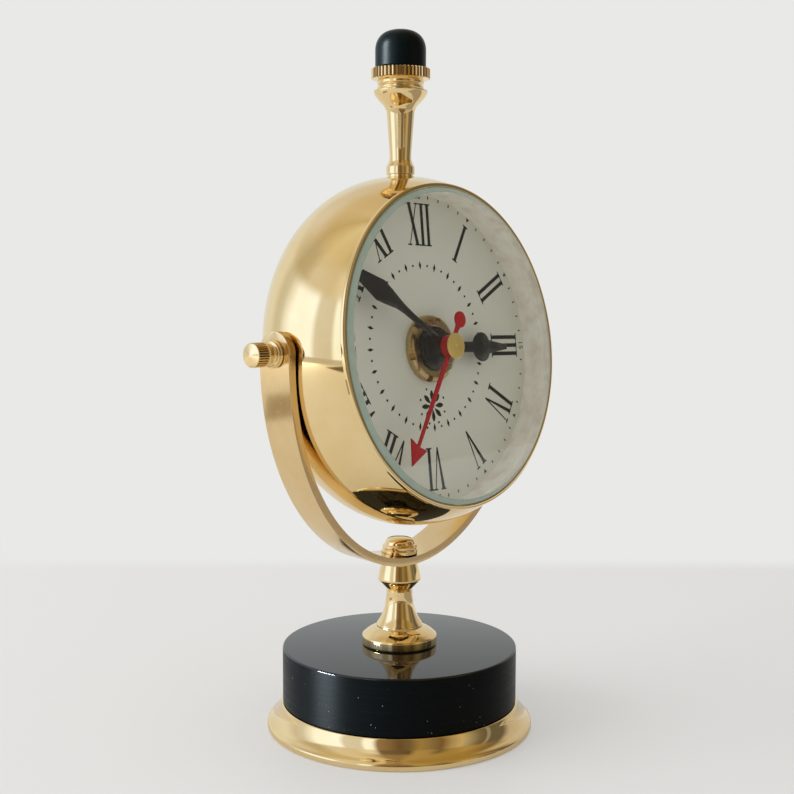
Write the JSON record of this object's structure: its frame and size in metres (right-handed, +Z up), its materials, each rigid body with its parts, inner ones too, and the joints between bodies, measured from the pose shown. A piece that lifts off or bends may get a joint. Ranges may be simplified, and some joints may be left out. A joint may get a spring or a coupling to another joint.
{
  "type": "desk clock",
  "caption": "Brass desk clock: a round pocket-watch case with crown, tilting on thumbscrews in a U-shaped yoke on a turned column and black round base.",
  "frame": {"origin": "on the table, at the centre of the foot ring, on the axis of the column", "axes": "+Z up along the column, -Y out of the dial towards the viewer, +X to the viewer's right"},
  "size_m": [0.1048, 0.067, 0.173],
  "materials": {
    "polished_brass": "polished, fine lathe marks",
    "aged_brass": "aged, dull",
    "black_base": "polished top, turned side",
    "black_knob": "satin",
    "steel": "plated",
    "clear_glass": "bevelled and polished",
    "dial_white": "off-white enamel",
    "cream_wall": "matt",
    "black_hand": "gloss black",
    "red_hand": "gloss red",
    "black_rubber": "soft",
    "movement_shell": "moulded",
    "gear_plastic": "moulded",
    "magnet": "sintered",
    "cell_can": "printed sleeve, no words",
    "contact_metal": "nickel plated",
    "board_green": "lacquered",
    "iron_plate": "rolled",
    "copper_wire": "enamelled wire"
  },
  "bodies": {
    "stand": {"foot_ring": "polished_brass", "base_disc": "black_base", "base_washer": "steel", "base_screw": "steel", "column": "polished_brass", "yoke_dome_screw": "polished_brass"},
    "yoke_arm": {"yoke": "polished_brass"},
    "case": {"case_shell": "polished_brass", "pivot_bushes": "aged_brass", "bezel": "polished_brass", "glass": "clear_glass", "dial_spacer": "cream_wall", "dial": "dial_white", "dial_washer": "black_rubber", "dial_nut": "aged_brass", "neck": "polished_brass", "neck_nut": "aged_brass", "movement_front": "movement_shell", "movement_back": "movement_shell", "circuit_board": "board_green", "stator": "iron_plate", "coil_core": "iron_plate", "coil": "copper_wire", "battery": "cell_can", "contact_plus": "contact_metal", "contact_minus": "contact_metal"},
    "cover": {"back_cover": "polished_brass"},
    "crown": {"crown_ring": "polished_brass", "crown_knob": "black_knob", "crown_stud": "steel"},
    "thumb_left": {"thumbscrew_left": "polished_brass"},
    "thumb_right": {"thumbscrew_right": "polished_brass"},
    "hour": {"hour_hand": "black_hand", "hour_wheel": "gear_plastic"},
    "minute": {"minute_hand": "black_hand", "minute_tube": "gear_plastic"},
    "second": {"second_hand": "red_hand", "second_cap": "polished_brass", "second_wheel": "gear_plastic"},
    "setting": {"setting_knob": "movement_shell", "motion_wheel": "gear_plastic"},
    "third": {"third_wheel": "gear_plastic"},
    "centre": {"centre_wheel": "gear_plastic"},
    "intermediate": {"intermediate_wheel": "gear_plastic"},
    "motor": {"rotor": "magnet"}
  },
  "joints": [
    {"name": "yoke_swivel", "type": "hinge", "parent": "stand", "child": "yoke_arm", "pos_m": [0, 0, 0.0425], "axis": [0, 0, 1], "continuous": true},
    {"name": "case_tilt", "type": "hinge", "parent": "yoke_arm", "child": "case", "pos_m": [0, -0.00304, 0.09612], "axis": [1, 0, 0], "range_deg": [-150, 150]},
    {"name": "cover_lift", "type": "slide", "parent": "case", "child": "cover", "axis": [0, 0.9921, -0.1253], "range_m": [0, 0.03]},
    {"name": "crown_turn", "type": "hinge", "parent": "case", "child": "crown", "pos_m": [0, 0, 0.158], "axis": [0, 0, 1], "continuous": true},
    {"name": "thumb_left_turn", "type": "hinge", "parent": "case", "child": "thumb_left", "pos_m": [-0.045, -0.00304, 0.09612], "axis": [-1, 0, 0], "range_deg": [0, 180]},
    {"name": "thumb_right_turn", "type": "hinge", "parent": "case", "child": "thumb_right", "pos_m": [0.045, -0.00304, 0.09612], "axis": [1, 0, 0], "range_deg": [0, 180]},
    {"name": "minute_turn", "type": "hinge", "parent": "case", "child": "minute", "pos_m": [0, -0.00904, 0.09566], "axis": [0, 0.9921, -0.1253], "continuous": true},
    {"name": "hour_turn", "type": "hinge", "parent": "case", "child": "hour", "pos_m": [0, -0.00904, 0.09566], "axis": [0, 0.9921, -0.1253], "continuous": true},
    {"name": "setting_turn", "type": "hinge", "parent": "case", "child": "setting", "pos_m": [0, 0.00119, 0.10566], "axis": [0, 0.9921, -0.1253], "continuous": true},
    {"name": "second_turn", "type": "hinge", "parent": "case", "child": "second", "pos_m": [0, -0.00904, 0.09566], "axis": [0, 0.9921, -0.1253], "continuous": true},
    {"name": "third_turn", "type": "hinge", "parent": "case", "child": "third", "pos_m": [-0.0108, -0.00021, 0.09455], "axis": [0, 0.9921, -0.1253], "continuous": true},
    {"name": "centre_turn", "type": "hinge", "parent": "case", "child": "centre", "pos_m": [0, -0.00904, 0.09566], "axis": [0, 0.9921, -0.1253], "continuous": true},
    {"name": "intermediate_turn", "type": "hinge", "parent": "case", "child": "intermediate", "pos_m": [0.00789, 0.00015, 0.0974], "axis": [0, 0.9921, -0.1253], "continuous": true},
    {"name": "motor_turn", "type": "hinge", "parent": "case", "child": "motor", "pos_m": [0.01149, 0.00093, 0.10358], "axis": [0, 0.9921, -0.1253], "continuous": true}
  ],
  "couplings": [
    {"joint": "hour_turn", "follows": "minute_turn", "ratio": 0.083333},
    {"joint": "setting_turn", "follows": "minute_turn", "ratio": -0.33333},
    {"joint": "third_turn", "follows": "second_turn", "ratio": -0.125},
    {"joint": "centre_turn", "follows": "second_turn", "ratio": 0.016667},
    {"joint": "intermediate_turn", "follows": "second_turn", "ratio": -6},
    {"joint": "motor_turn", "follows": "second_turn", "ratio": 30}
  ]
}
